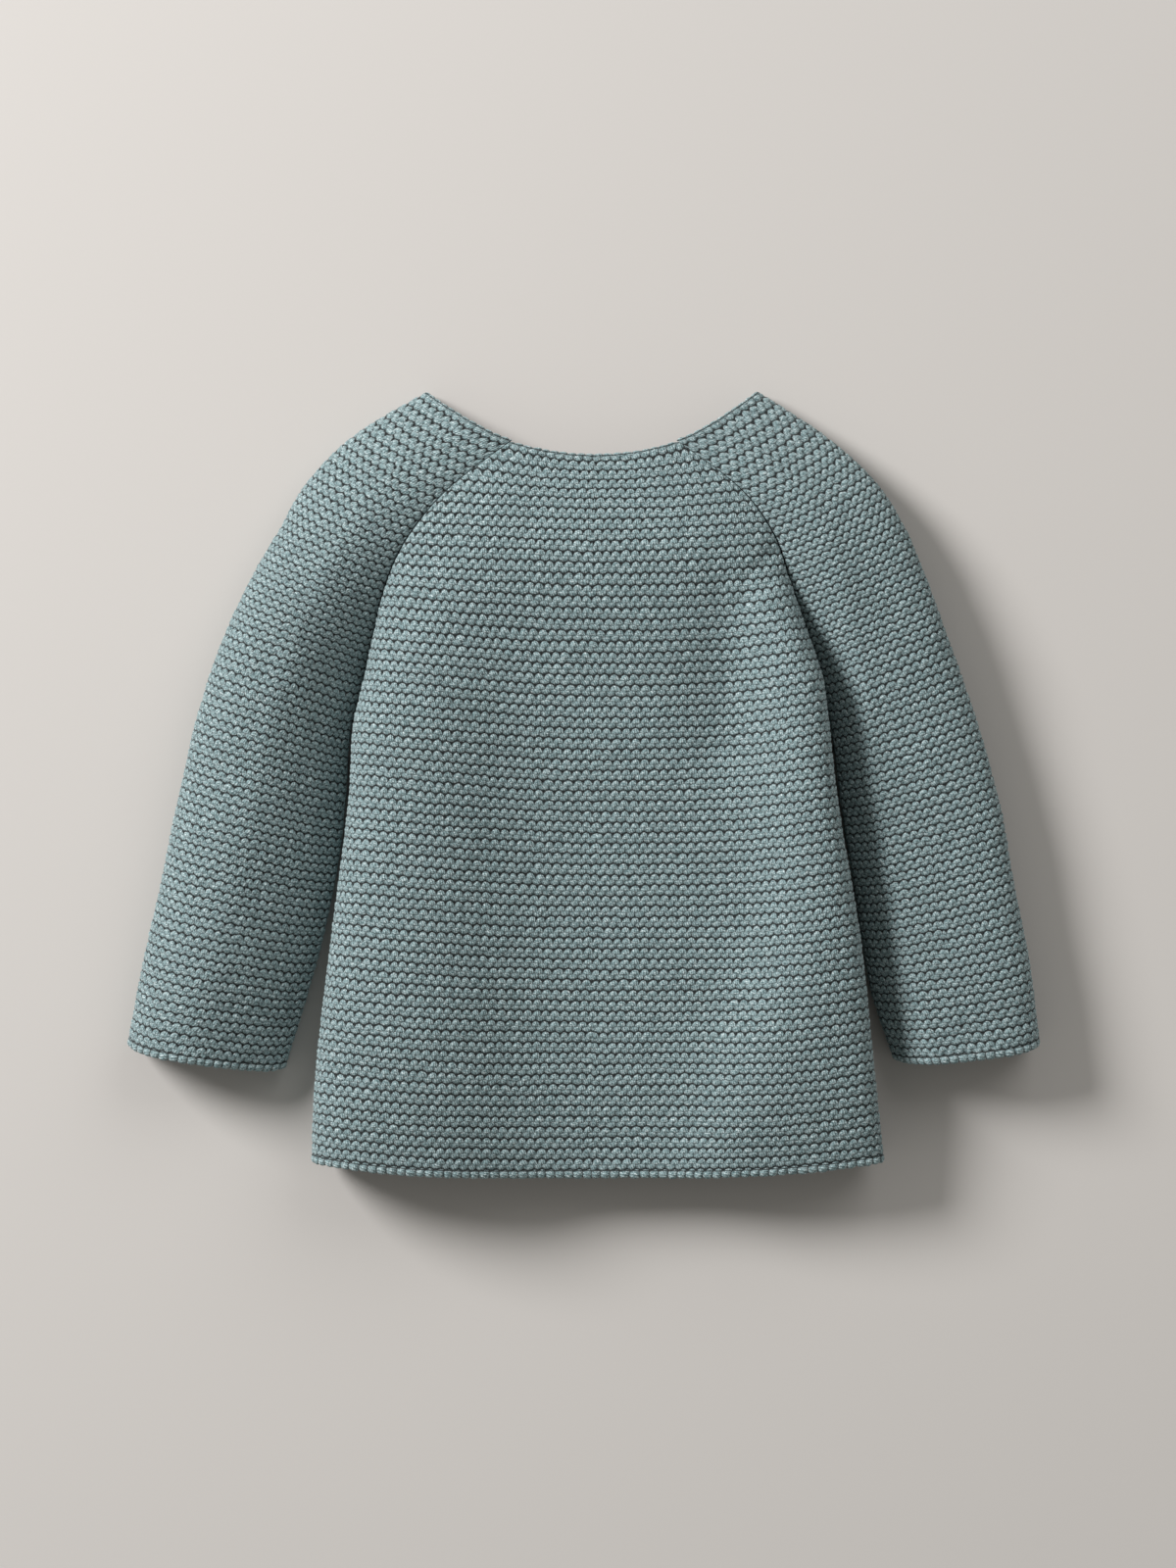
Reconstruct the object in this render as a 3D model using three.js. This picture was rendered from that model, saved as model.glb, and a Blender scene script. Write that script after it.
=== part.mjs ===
// A baby's long-sleeved raglan cardigan in garter stitch, lying face down and softly filled out.
// It is five knitted pieces: a back, two fronts and two sleeves. Each piece is one wall of cloth, and
// the garment is hollow: open at the neck, at the hem and at both cuffs.
// Millimetres. +X is the wearer's right, +Y is towards the neck, and +Z is up from the surface.
import * as THREE from 'three';

// The cloth and its seams
const WALL = 2.8; // thickness of the garter stitch cloth, over its ridges
const RIDGE_DEPTH = 0.9; // depth of the groove between two ridges of garter stitch
const RIDGE_FADE = 8; // the ridges fade out below this height, where the cloth is pressed flat
const SEAM_GAP = 0.3; // between two pieces that are sewn together

// The body, from the neck down to the hem. A row of knitting ends at y in both side seams, which run
// left and right of the middle at those distances. top is the height of the back over the surface and
// seam the height of the seam.
const BODY = [
  { y: 134.0, left: 26.7, right: 34.5, top: 21.5, seam: 18.5 },
  { y: 114.0, left: 52.4, right: 60.4, top: 27.5, seam: 24.0 },
  { y: 96.1, left: 67.6, right: 73.5, top: 33.0, seam: 25.0 },
  { y: 79.4, left: 76.0, right: 79.4, top: 37.5, seam: 22.5 },
  { y: 60.4, left: 81.1, right: 85.9, top: 41.0, seam: 18.0 },
  { y: 41.4, left: 85.1, right: 92.0, top: 43.5, seam: 13.0 },
  { y: 22.4, left: 89.3, right: 94.6, top: 45.0, seam: 16.0 },
  { y: -8.0, left: 91.2, right: 98.0, top: 46.0, seam: 18.0 },
  { y: -61.2, left: 98.0, right: 106.8, top: 46.5, seam: 18.5 },
  { y: -114.4, left: 104.1, right: 112.5, top: 44.0, seam: 17.6 },
  { y: -147.4, left: 105.6, right: 116.3, top: 39.0, seam: 15.5 },
];

// The curve of the back's rows: how far below its ends a row's middle hangs, and the powers of its rise
// to the left and to the right. A larger power keeps the row level for longer.
const ROW_CURVE = [
  { y: 134.0, bow: 5.9, left: 1.9, right: 1.9 },
  { y: 114.0, bow: 3.6, left: 2.2, right: 2.2 },
  { y: 96.1, bow: 3.6, left: 2.0, right: 2.2 },
  { y: 79.4, bow: 4.8, left: 1.8, right: 2.6 },
  { y: 60.4, bow: 6.2, left: 1.7, right: 3.2 },
  { y: 41.4, bow: 6.8, left: 1.5, right: 2.8 },
  { y: 22.4, bow: 6.8, left: 1.4, right: 2.7 },
  { y: -8.0, bow: 6.5, left: 1.5, right: 3.0 },
  { y: -61.2, bow: 6.2, left: 1.9, right: 4.0 },
  { y: -114.4, bow: 6.0, left: 2.6, right: 4.2 },
  { y: -147.4, bow: 6.2, left: 3.2, right: 3.4 },
];

// The hollow down the middle of the back: how deep the cloth falls into it and rises out of it, and
// where, from -1 at the left seam to 1 at the right one.
const HOLLOW = [
  { y: 114.0, fallAt: -0.60, fall: 0, riseAt: 0.70, rise: 0 },
  { y: 96.1, fallAt: -0.60, fall: 2, riseAt: 0.74, rise: 1.5 },
  { y: 79.4, fallAt: -0.58, fall: 6, riseAt: 0.76, rise: 5 },
  { y: 60.4, fallAt: -0.56, fall: 11, riseAt: 0.77, rise: 12 },
  { y: 41.4, fallAt: -0.52, fall: 15, riseAt: 0.76, rise: 16 },
  { y: 22.4, fallAt: -0.50, fall: 17, riseAt: 0.76, rise: 18 },
  { y: -8.0, fallAt: -0.48, fall: 19, riseAt: 0.74, rise: 19 },
  { y: -61.2, fallAt: -0.44, fall: 20, riseAt: 0.66, rise: 17 },
  { y: -114.4, fallAt: -0.40, fall: 19, riseAt: 0.45, rise: 11 },
  { y: -147.4, fallAt: -0.40, fall: 17, riseAt: 0.30, rise: 7 },
];

// The sleeves. fold is the height of a row's outer fold over the surface, and inner the height of the
// seam under the arm.
const SLEEVE = [
  { y: 134.0, fold: 5.0, inner: 18.5 },
  { y: 114.0, fold: 8.0, inner: 24.0 },
  { y: 96.1, fold: 10.0, inner: 25.0 },
  { y: 79.4, fold: 11.5, inner: 22.5 },
  { y: 60.4, fold: 12.5, inner: 18.0 },
  { y: 41.4, fold: 13.0, inner: 13.0 },
  { y: 22.4, fold: 13.0, inner: 13.0 },
  { y: -0.4, fold: 13.0, inner: 12.5 },
  { y: -27.0, fold: 13.0, inner: 12.0 },
  { y: -53.6, fold: 13.0, inner: 11.5 },
  { y: -80.2, fold: 12.5, inner: 11.0 },
  { y: -111.7, fold: 12.0, inner: 11.0 },
];

// A sleeve's row starts at y on the inner side, clear of the body's edge, runs across to the outer
// fold and rises on the way. top is the height of its crown, and crest how far across that lies, from
// the inner side. Each sleeve lies in its own way.
const SLEEVE_REACH = {
  left: [
    { y: 134.0, clear: 0, across: 33.3, rise: 18.0, top: 17.0, crest: 0.50 },
    { y: 114.0, clear: 0, across: 36.5, rise: 20.9, top: 23.5, crest: 0.50 },
    { y: 96.1, clear: 0, across: 39.6, rise: 20.6, top: 28.0, crest: 0.50 },
    { y: 79.4, clear: 0, across: 42.2, rise: 18.6, top: 31.0, crest: 0.50 },
    { y: 60.4, clear: 0, across: 47.7, rise: 19.4, top: 32.5, crest: 0.52 },
    { y: 41.4, clear: 0, across: 52.8, rise: 19.4, top: 33.0, crest: 0.53 },
    { y: 22.4, clear: 1.1, across: 55.1, rise: 18.6, top: 33.0, crest: 0.54 },
    { y: -0.4, clear: 1.6, across: 60.2, rise: 17.5, top: 32.5, crest: 0.56 },
    { y: -27.0, clear: 1.4, across: 63.8, rise: 16.0, top: 32.0, crest: 0.58 },
    { y: -53.6, clear: 2.8, across: 64.6, rise: 14.1, top: 31.5, crest: 0.60 },
    { y: -80.2, clear: 6.5, across: 64.2, rise: 11.4, top: 31.0, crest: 0.62 },
    { y: -111.7, clear: 12.4, across: 61.2, rise: 9.1, top: 30.0, crest: 0.64 },
  ],
  right: [
    { y: 134.0, clear: 0, across: 31.6, rise: 18.0, top: 17.0, crest: 0.50 },
    { y: 114.0, clear: 0, across: 33.5, rise: 19.4, top: 23.5, crest: 0.48 },
    { y: 96.1, clear: 0, across: 38.6, rise: 20.6, top: 28.0, crest: 0.46 },
    { y: 79.4, clear: 0, across: 44.1, rise: 20.2, top: 30.0, crest: 0.42 },
    { y: 60.4, clear: 0, across: 46.3, rise: 19.0, top: 29.5, crest: 0.38 },
    { y: 41.4, clear: 0, across: 47.5, rise: 17.9, top: 28.0, crest: 0.34 },
    { y: 22.4, clear: 1.2, across: 50.9, rise: 17.1, top: 27.0, crest: 0.30 },
    { y: -0.4, clear: 1.7, across: 55.9, rise: 16.0, top: 26.5, crest: 0.28 },
    { y: -27.0, clear: 1.6, across: 59.3, rise: 14.8, top: 26.5, crest: 0.28 },
    { y: -53.6, clear: 1.2, across: 60.0, rise: 12.9, top: 27.0, crest: 0.28 },
    { y: -80.2, clear: 2.3, across: 61.6, rise: 9.1, top: 27.5, crest: 0.29 },
    { y: -111.7, clear: 9.3, across: 55.8, rise: 5.6, top: 28.0, crest: 0.30 },
  ],
};

// Places along the garment, by the height y of a row's end
const NECK_Y = 134.0;
const UNDERARM_Y = 41.4;
const HEM_Y = -147.4;
const CUFF_Y = { left: -111.7, right: -108.3 };

// The section of the cloth across the body and across a sleeve
const NECK_ROUNDNESS = 2.7; // power of the back's curve: 2 is an ellipse, more is squarer
const BODY_ROUNDNESS = { left: 4, right: 7 };
const FALL_WIDTH = 0.25; // half the width of the slope down into the back's hollow
const RISE_WIDTH = 0.14; // and of the slope up out of it
const SLEEVE_SLOPE = 1.5; // power of the curve from a sleeve's inner seam up to its crown
const SLEEVE_ROUNDNESS = { left: 2.1, right: 4 }; // and from there over to the outer fold
const SIDE_TURN = 14; // how far in from the side seam a front comes down to the surface
const SLEEVE_TURN = 9; // the same under a sleeve's outer fold and inner seam
const SLEEVE_BOW = { neck: 0, cuff: 2.6 }; // how far the crown of a row lies below its ends
const SLEEVE_CORNER = 5;
const NECK_SWEEP = 1.3; // power of the curve in which a sleeve's neck edge rises to its fold

// The fronts, which lie under the back
const FRONT_RAGLAN_OUT = 4.9; // the front raglan starts this far outside the back one at the neck
const FRONT_RAGLAN_DOWN = 9.9; // and this far below it
const FRONT_RAGLAN_LIFT = 32; // length over which it lifts off the surface towards the underarm
const FRONT_NECK_DROP = 22.8; // depth of the round front neck at the middle
const OVERLAP = 12; // width of the band where the right front lies on the left one
const STEP_UP = 12; // length in which the right front climbs on to the left one

// Ridges of garter stitch from the neck to the underarm, and from there to the hem and to the cuff
const YOKE_RIDGES = 24;
const BODY_RIDGES = 45;
const SLEEVE_RIDGES = 39;

// How finely each piece is divided: a plain face has a row of points to every third ridge, and a
// ridged one has a row on each ridge and one in each groove
const RIDGES_A_ROW = 3;
const FINE_ROWS = 2 * RIDGES_A_ROW;
const BACK_COLUMNS = 17;
const FRONT_COLUMNS = 8;
const BAND_COLUMNS = 2;
const CROWN_COLUMNS = 11;
const UNDER_COLUMNS = 9;
const FINE_STEPS = 96; // points worked out along a row before it is spread evenly

const YARN = new THREE.Color(0x7f9c9f);
const SIDES = [
  { name: 'left', sign: -1 },
  { name: 'right', sign: 1 },
];

const lerp = THREE.MathUtils.lerp;
const clamp = THREE.MathUtils.clamp;

// One column of a table, read at any height: a cubic between two rows of the table, whose slope at
// each row comes from that row's neighbours.
function read(table, column, y) {
  const last = table.length - 1;
  const next = table.findIndex((row) => row.y <= y);
  const b = next < 0 ? last : Math.max(next, 1);
  const a = b - 1;
  const slope = (i) => {
    const before = table[Math.max(i - 1, 0)];
    const after = table[Math.min(i + 1, last)];
    return (after[column] - before[column]) / (after.y - before.y);
  };
  const span = table[b].y - table[a].y;
  const t = (y - table[a].y) / span;
  const fromA = (1 + 2 * t) * (1 - t) ** 2 * table[a][column] + t * (1 - t) ** 2 * span * slope(a);
  const toB = t * t * (3 - 2 * t) * table[b][column] - t * t * (1 - t) * span * slope(b);
  return fromA + toB;
}

// How far up the yoke a row is: 0 at the underarm and below it, 1 at the neck
const yoke = (y) => clamp((y - UNDERARM_Y) / (NECK_Y - UNDERARM_Y), 0, 1);

// The heights y of a piece's rows, two to a ridge: the yoke in equal steps, then the rest
function stations(endY, lowerRidges) {
  const above = 2 * YOKE_RIDGES;
  const below = 2 * lowerRidges;
  const upper = Array.from({ length: above }, (_, i) => lerp(NECK_Y, UNDERARM_Y, i / above));
  const lower = Array.from({ length: below + 1 }, (_, i) => lerp(UNDERARM_Y, endY, i / below));
  return [...upper, ...lower];
}

// A finely worked out path along part of a row
function trace(pointAt) {
  return Array.from({ length: FINE_STEPS + 1 }, (_, i) => pointAt(i / FINE_STEPS));
}

// Places at equal distances along a path, each with the direction in which the path runs there. They
// start and end short of the path's ends by the two trims.
function spread(path, columns, trimStart = 0, trimEnd = 0) {
  const along = [0];
  for (let i = 1; i < path.length; i += 1) {
    along.push(along[i - 1] + path[i].distanceTo(path[i - 1]));
  }
  const end = along[along.length - 1] - trimEnd;
  return Array.from({ length: columns + 1 }, (_, i) => {
    const want = lerp(trimStart, end, i / columns);
    const next = clamp(along.findIndex((length) => length >= want), 1, path.length - 1);
    const step = along[next] - along[next - 1];
    const point = path[next - 1].clone().lerp(path[next], (want - along[next - 1]) / step);
    return { point, run: path[next].clone().sub(path[next - 1]).normalize() };
  });
}

// Joins stretches of a row that share their end points
function join(...stretches) {
  return stretches.flatMap((places, i) => (i === 0 ? places : places.slice(1)));
}

// The faces between two lines of points that end together. A line with as many points as the other
// is joined to it by squares, and one with fewer by fans.
function strip(one, other) {
  const faces = [];
  const steps = Math.max(one.length, other.length) - 1;
  const at = (line, i) => Math.round((i * (line.length - 1)) / steps);
  for (let i = 0; i < steps; i += 1) {
    const [a, b] = [one[at(one, i)], one[at(one, i + 1)]];
    const [c, d] = [other[at(other, i)], other[at(other, i + 1)]];
    if (a !== b) faces.push(a, b, d);
    if (c !== d) faces.push(a, d, c);
  }
  return faces;
}

// A wall of cloth, from rows of places. The outer face has every row in the fine columns, with each
// second one sunk into a groove, and only every sixth row in the others. The grooves end at the last
// fine column if others follow it. The inner face is plain and lies the wall's thickness behind. turn
// is 1 where the rows run to the right on a face that looks up.
function wall(rows, turn, fineColumns) {
  const points = [];
  const outer = [];
  const inner = [];
  const last = rows.length - 1;
  const columns = rows[0].length;
  const grooved = fineColumns < columns ? fineColumns - 1 : columns;
  for (let c = 0; c < columns; c += 1) {
    outer.push([]);
    inner.push([]);
    rows.forEach((row, r) => {
      const { point, run } = row[c];
      const down = rows[Math.min(r + 1, last)][c].point.clone().sub(rows[Math.max(r - 1, 0)][c].point);
      const out = down.cross(run).normalize().multiplyScalar(turn);
      const coarse = r % FINE_ROWS === 0;
      if (coarse || c < fineColumns) {
        const sunk = r % 2 === 1 && c < grooved;
        const groove = sunk ? RIDGE_DEPTH * clamp(point.z / RIDGE_FADE, 0, 1) : 0;
        outer[c].push(points.push(point.clone().addScaledVector(out, -groove)) - 1);
      }
      if (coarse) inner[c].push(points.push(point.clone().addScaledVector(out, -WALL)) - 1);
    });
  }

  const faces = [];
  for (let c = 1; c < outer.length; c += 1) {
    faces.push(...strip(outer[c - 1], outer[c]), ...strip(inner[c], inner[c - 1]));
  }
  const topEdge = [outer, inner].map((side) => side.map((column) => column[0]));
  const endEdge = [outer, inner].map((side) => side.map((column) => column[column.length - 1]));
  faces.push(...strip(topEdge[0], topEdge[1]), ...strip(endEdge[1], endEdge[0]));
  faces.push(...strip(inner[0], outer[0]), ...strip(outer[outer.length - 1], inner[inner.length - 1]));
  if (turn < 0) faces.reverse();

  const geometry = new THREE.BufferGeometry();
  const numbers = points.flatMap((point) => point.toArray());
  geometry.setAttribute('position', new THREE.Float32BufferAttribute(numbers, 3));
  geometry.setIndex(faces);
  geometry.computeVertexNormals();
  return geometry;
}

// Where the back's edge runs: the raglan seam above the underarm, the side seam below it
function backEdge(side, y) {
  return new THREE.Vector3(side.sign * read(BODY, side.name, y), y, read(BODY, 'seam', y));
}

// Height of the front's edge: it follows the side seam, and comes down to the surface in the yoke
function frontEdgeHeight(y, sideHeight) {
  const fall = clamp(1 - (y - UNDERARM_Y) / FRONT_RAGLAN_LIFT, 0, 1);
  return y > UNDERARM_Y ? read(BODY, 'seam', UNDERARM_Y) * fall * fall : sideHeight;
}

// Where the front's edge runs: under the back's, but lower and further out towards the neck
function frontEdge(side, y) {
  const edge = backEdge(side, y);
  edge.x += side.sign * FRONT_RAGLAN_OUT * yoke(y);
  edge.y -= FRONT_RAGLAN_DOWN * yoke(y);
  edge.z = frontEdgeHeight(y, edge.z);
  return edge;
}

// An edge moved away from the body, level, by the gap of a seam
function clearOf(edge, side, y) {
  const step = 1;
  const run = edge(side, y - step).sub(edge(side, y + step));
  const away = new THREE.Vector3(side.sign * Math.abs(run.y), -side.sign * run.x * Math.sign(run.y), 0);
  return edge(side, y).addScaledVector(away.normalize(), SEAM_GAP);
}

// A quarter of an ellipse, width wide and height high, from its upright end down to the surface, or
// from where it is only edgeHeight high. It gives the angle there, and how far in and how high it is
// at an angle.
const turnStart = (height, edgeHeight) => Math.asin(1 - Math.min(1, edgeHeight / height));
const turnIn = (width, angle) => width * (1 - Math.cos(angle));
const turnHeight = (height, angle) => height * (1 - Math.sin(angle));

// How far the back lies below its arch, in the hollow
function sag(y, across) {
  const fallen = (1 + Math.tanh((across - read(HOLLOW, 'fallAt', y)) / FALL_WIDTH)) / 2;
  const risen = (1 + Math.tanh((across - read(HOLLOW, 'riseAt', y)) / RISE_WIDTH)) / 2;
  return read(HOLLOW, 'fall', y) * fallen - read(HOLLOW, 'rise', y) * risen;
}

// The back's section starts upright at the side seams, and flatter in the yoke towards the neck
function backRow(y) {
  const start = backEdge(SIDES[0], y);
  const end = backEdge(SIDES[1], y);
  const top = read(BODY, 'top', y);
  const bow = read(ROW_CURVE, 'bow', y);
  const path = trace((t) => {
    const across = -Math.cos(Math.PI * t);
    const side = across < 0 ? SIDES[0] : SIDES[1];
    const roundness = lerp(BODY_ROUNDNESS[side.name], NECK_ROUNDNESS, yoke(y));
    const power = lerp(1 / roundness, 1, yoke(y));
    const point = start.clone().lerp(end, (1 + across) / 2);
    const crown = Math.max(0, 1 - Math.abs(across) ** roundness) ** power;
    point.y -= bow * (1 - Math.abs(across) ** read(ROW_CURVE, side.name, y));
    point.z += (top - point.z - sag(y, across)) * crown;
    return point;
  });
  return spread(path, BACK_COLUMNS, SEAM_GAP / 2, SEAM_GAP / 2);
}

// A front comes round from its side edge down to the surface, lies flat, and ends in a band at the
// middle. The right one climbs on to the left one there.
function frontRow(side, y) {
  const edge = frontEdge(side, y);
  const middle = (read(BODY, 'right', y) - read(BODY, 'left', y)) / 2;
  const bandX = middle + side.sign * (OVERLAP / 2 + STEP_UP);
  const topX = middle + side.sign * (OVERLAP / 2 + 1);
  const endX = middle - side.sign * (OVERLAP / 2);
  const neckDrop = FRONT_NECK_DROP * yoke(y) ** 2;
  const lift = side.sign > 0 ? WALL + SEAM_GAP : 0;
  const sideHeight = read(BODY, 'seam', Math.min(y, UNDERARM_Y));
  const first = turnStart(sideHeight, edge.z);
  const flatX = edge.x - side.sign * (SIDE_TURN - turnIn(SIDE_TURN, first));
  const place = (x, z) => {
    const share = (x - edge.x) / (endX - edge.x);
    return new THREE.Vector3(x, edge.y - neckDrop * (1 - (1 - share) ** 2), z);
  };
  const round = trace((t) => {
    const angle = lerp(first, Math.PI / 2, t);
    const inwards = turnIn(SIDE_TURN, angle) - turnIn(SIDE_TURN, first);
    return place(edge.x - side.sign * inwards, turnHeight(sideHeight, angle));
  });
  const flat = trace((t) => place(lerp(flatX, bandX, t), 0));
  const climb = trace((t) => place(lerp(bandX, topX, t), lift * THREE.MathUtils.smoothstep(t, 0, 1)));
  const band = trace((t) => place(lerp(topX, endX, t), lift));
  return join(
    spread([...round, ...flat], FRONT_COLUMNS, SEAM_GAP / 2),
    spread(climb, BAND_COLUMNS),
    spread(band, BAND_COLUMNS),
  );
}

// A row of a sleeve starts at the inner seam, goes over the crown to the outer fold, and comes back
// underneath, flat on the surface, to the front raglan seam or to the seam under the arm
function sleeveRow(side, y) {
  const inYoke = y > UNDERARM_Y;
  const reach = SLEEVE_REACH[side.name];
  const away = side.sign * read(reach, 'clear', y);
  const start = clearOf(backEdge, side, y);
  start.x += away;
  start.z = inYoke ? start.z : read(SLEEVE, 'inner', y);
  const end = clearOf(frontEdge, side, y);
  end.x += away;
  end.z = frontEdgeHeight(y, start.z);
  const fold = new THREE.Vector3(
    start.x + side.sign * read(reach, 'across', y),
    start.y + read(reach, 'rise', y),
    read(SLEEVE, 'fold', y),
  );
  const bow = lerp(SLEEVE_BOW.neck, SLEEVE_BOW.cuff, (NECK_Y - y) / (NECK_Y - CUFF_Y[side.name]));
  const crest = read(reach, 'crest', y);
  const roundness = SLEEVE_ROUNDNESS[side.name];
  const rise = read(reach, 'top', y) - lerp(start.z, fold.z, crest);
  const sweep = lerp(1, NECK_SWEEP, yoke(y));
  const crown = trace((t) => {
    const across = -Math.cos(Math.PI * t);
    const share = (1 + across) / 2;
    const inside = share < crest;
    const down = inside ? 1 - share / crest : (share - crest) / (1 - crest);
    const arch = inside ? 1 - down ** SLEEVE_SLOPE : Math.max(0, 1 - down ** roundness) ** (1 / roundness);
    const point = start.clone().lerp(fold, share);
    point.y -= bow * (1 - Math.abs(across) ** SLEEVE_CORNER);
    point.y -= (fold.y - start.y) * (share - share ** sweep);
    point.z += rise * arch;
    return point;
  });

  const level = end.clone().sub(fold).setZ(0);
  const width = level.length();
  level.normalize();
  const foldTurn = SLEEVE_TURN * Math.min(1, fold.z / read(SLEEVE, 'fold', UNDERARM_Y));
  const innerHeight = inYoke ? read(SLEEVE, 'inner', UNDERARM_Y) : end.z;
  const first = turnStart(innerHeight, end.z);
  const under = (distance, z) => fold.clone().addScaledVector(level, distance).setZ(z);
  const outerRound = trace((t) => {
    const angle = (t * Math.PI) / 2;
    return under(turnIn(foldTurn, angle), turnHeight(fold.z, angle));
  });
  const innerRound = trace((t) => {
    const angle = lerp(Math.PI / 2, first, t);
    const inwards = turnIn(SLEEVE_TURN, angle) - turnIn(SLEEVE_TURN, first);
    return under(width - inwards, turnHeight(innerHeight, angle));
  });
  return join(
    spread(crown, CROWN_COLUMNS, SEAM_GAP / 2),
    spread([...outerRound, ...innerRound], UNDER_COLUMNS, 0, SEAM_GAP / 2),
  );
}

const cardigan = new THREE.Group();

function addPiece(name, rows, turn, fineColumns) {
  const cloth = new THREE.MeshStandardMaterial({ color: YARN, roughness: 0.9, metalness: 0 });
  const piece = new THREE.Mesh(wall(rows, turn, fineColumns), cloth);
  piece.name = name;
  cardigan.add(piece);
}

addPiece('back', stations(HEM_Y, BODY_RIDGES).map(backRow), 1, BACK_COLUMNS + 1);
for (const side of SIDES) {
  const frontRows = stations(HEM_Y, BODY_RIDGES).map((y) => frontRow(side, y));
  const sleeveRows = stations(CUFF_Y[side.name], SLEEVE_RIDGES).map((y) => sleeveRow(side, y));
  addPiece(`front_${side.name}`, frontRows, side.sign, 1);
  addPiece(`sleeve_${side.name}`, sleeveRows, side.sign, CROWN_COLUMNS + 2);
}

// The origin lies on the surface, under the middle of the whole garment
const reach = new THREE.Box3().setFromObject(cardigan, true);
const centre = reach.getCenter(new THREE.Vector3());
cardigan.position.set(-centre.x, -centre.y, -reach.min.z);

export default cardigan;
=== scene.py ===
import bpy
import numpy as np
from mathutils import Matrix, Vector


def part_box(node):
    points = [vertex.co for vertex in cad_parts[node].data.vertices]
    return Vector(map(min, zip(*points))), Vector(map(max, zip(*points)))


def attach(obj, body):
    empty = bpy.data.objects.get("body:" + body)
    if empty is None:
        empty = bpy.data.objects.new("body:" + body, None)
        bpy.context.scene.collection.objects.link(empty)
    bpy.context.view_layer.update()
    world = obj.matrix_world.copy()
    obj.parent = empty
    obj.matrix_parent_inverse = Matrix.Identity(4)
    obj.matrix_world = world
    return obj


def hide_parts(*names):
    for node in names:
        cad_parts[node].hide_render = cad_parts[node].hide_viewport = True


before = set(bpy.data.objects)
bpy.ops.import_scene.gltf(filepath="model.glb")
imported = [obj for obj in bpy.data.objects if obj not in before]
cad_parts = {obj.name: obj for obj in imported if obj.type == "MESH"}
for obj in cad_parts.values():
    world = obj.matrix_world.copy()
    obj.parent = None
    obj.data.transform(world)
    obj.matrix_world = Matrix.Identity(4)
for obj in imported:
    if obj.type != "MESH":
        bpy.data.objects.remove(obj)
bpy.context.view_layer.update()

# The back
# One panel of garter stitch in a heathered teal cotton yarn, knitted from the hem up to the neck. It
# arches over the hollow of the garment, and its edges dip into the side seams and raglan seams.
MM = 0.001
WALL = 2.8  # thickness of the cloth; this and the sizes below are in millimetres
NECK_Y = 134.0
UNDERARM_Y = 41.4
HEM_Y = -147.4
# The back's rows from the hem up: how far its edges lie to the left and right, the height of its top and
# of its seams, how far a row's middle hangs and the powers of its curve, and the hollow down the middle,
# as the places across, from -1 to 1, where the cloth falls and rises again, and by how much.
BODY = {
    "y": (-147.4, -114.4, -61.2, -8.0, 22.4, 41.4, 60.4, 79.4, 96.1, 114.0, 134.0),
    "left": (105.6, 104.1, 98.0, 91.2, 89.3, 85.1, 81.1, 76.0, 67.6, 52.4, 26.7),
    "right": (116.3, 112.5, 106.8, 98.0, 94.6, 92.0, 85.9, 79.4, 73.5, 60.4, 34.5),
    "top": (39.0, 44.0, 46.5, 46.0, 45.0, 43.5, 41.0, 37.5, 33.0, 27.5, 21.5),
    "seam": (15.5, 17.6, 18.5, 18.0, 16.0, 13.0, 18.0, 22.5, 25.0, 24.0, 18.5),
    "bow": (6.2, 6.0, 6.2, 6.5, 6.8, 6.8, 6.2, 4.8, 3.6, 3.6, 5.9),
    "left_curve": (3.2, 2.6, 1.9, 1.5, 1.4, 1.5, 1.7, 1.8, 2.0, 2.2, 1.9),
    "right_curve": (3.4, 4.2, 4.0, 3.0, 2.7, 2.8, 3.2, 2.6, 2.2, 2.2, 1.9),
    "fall_at": (-0.40, -0.40, -0.44, -0.48, -0.50, -0.52, -0.56, -0.58, -0.60, -0.60, -0.60),
    "fall": (17, 19, 20, 19, 17, 15, 11, 6, 2, 0, 0),
    "rise_at": (0.30, 0.45, 0.66, 0.74, 0.76, 0.76, 0.77, 0.76, 0.74, 0.70, 0.70),
    "rise": (7, 11, 17, 19, 18, 16, 12, 5, 1.5, 0, 0),
}
BODY_ROUNDNESS = {"left": 4, "right": 7}  # power of the arch's curve: 2 is round, and more is flatter
NECK_ROUNDNESS = 2.7
FALL_WIDTH, RISE_WIDTH = 0.25, 0.14  # of the hollow's two slopes, in halves of the back's width
PATH_STEPS = 240  # points of a row's path, before it is cut into equal parts
BACK_COLUMNS = 328  # mesh columns, a multiple of INNER_STEP
STITCH = 3.65  # width of a stitch
RIDGE = 4.04  # height of a ridge, which is two rows of knitting
BODY_RIDGES = 69
CAST_ON, CAST_OFF = 0.95, 0.5  # height of the bumps at the hem and cuffs and at the neck, in ridges
ROWS_A_RIDGE = 4  # mesh rows to one ridge of knitting
INNER_STEP = 4  # the inside has one point to this many outside
TRIMMED_ROWS = 2  # rows at each end that the round edges take the place of
RIM_ANGLES = np.radians((36, 72, 108, 144))  # round the thickness of the hem and of the neck edge
RIM_TIP = WALL / 2 * np.radians(54)  # from the last of those to the edge's tip, along the round
RELIEF = 0.9  # depth of the gaps between the loops
CROWN_LIFT = 0.3  # how far the loops stand over the cloth's mean face
SEAM_ROLL = 0.3  # how far a sewn edge rolls inwards
SEAM_ROLL_WIDTH = 2.5
SEAM_FADE = 0.8  # width of a sewn edge in which the loops flatten into the seam
BUMP_STEEPNESS = 5  # of the end of those bumps, where the first ridge begins
LATTICE = 256  # cells of the soft noise, after which it repeats
LEFT, RIGHT = -1, 1

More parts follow.
